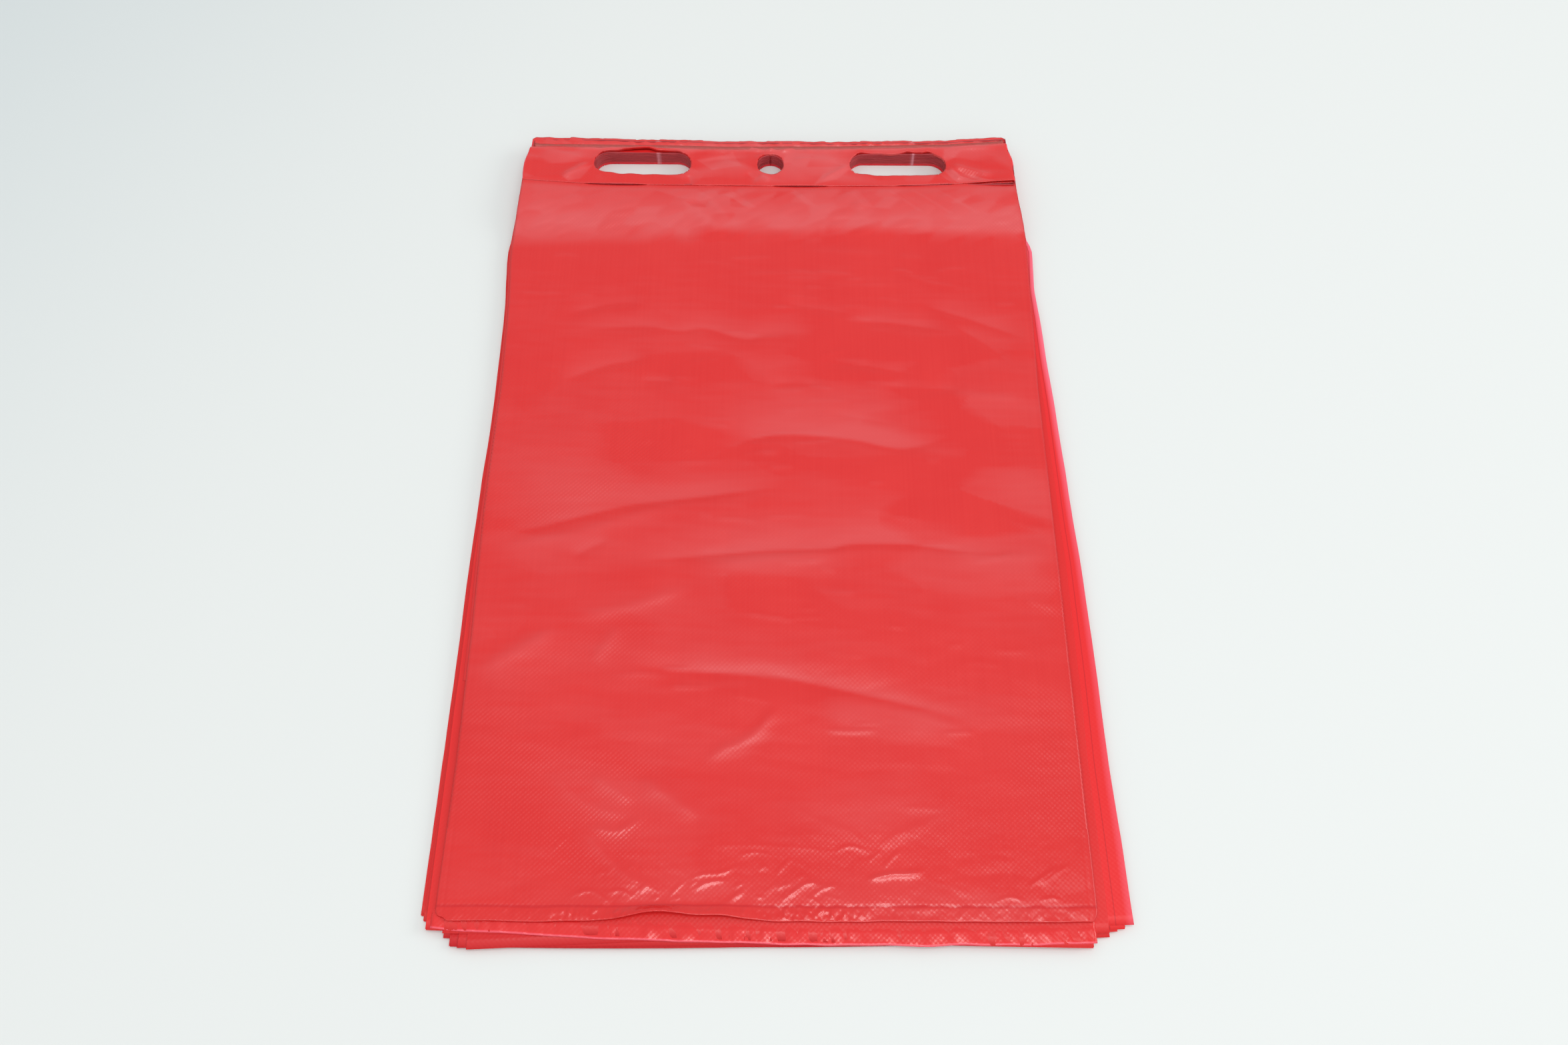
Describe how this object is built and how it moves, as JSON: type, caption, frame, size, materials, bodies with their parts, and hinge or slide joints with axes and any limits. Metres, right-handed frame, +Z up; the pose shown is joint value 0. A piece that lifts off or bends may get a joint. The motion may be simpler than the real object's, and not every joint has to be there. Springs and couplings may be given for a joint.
{
  "type": "block-headed bag pad",
  "caption": "Flat pad of thin film bags fused along a punched header with two hanging slots, a round hole and a tear line, its loose bags slightly fanned.",
  "frame": {"origin": "on the flat underside, on the pad's centre line, halfway along its length", "axes": "+X across the pad, +Y along it to the header, +Z up through its thickness"},
  "size_m": [0.2192, 0.3348, 0.0075],
  "materials": {
    "film": "thin red polyethylene film, satin gloss, slightly wrinkled"
  },
  "bodies": {
    "root": {"bag_pad": "film"}
  },
  "joints": []
}
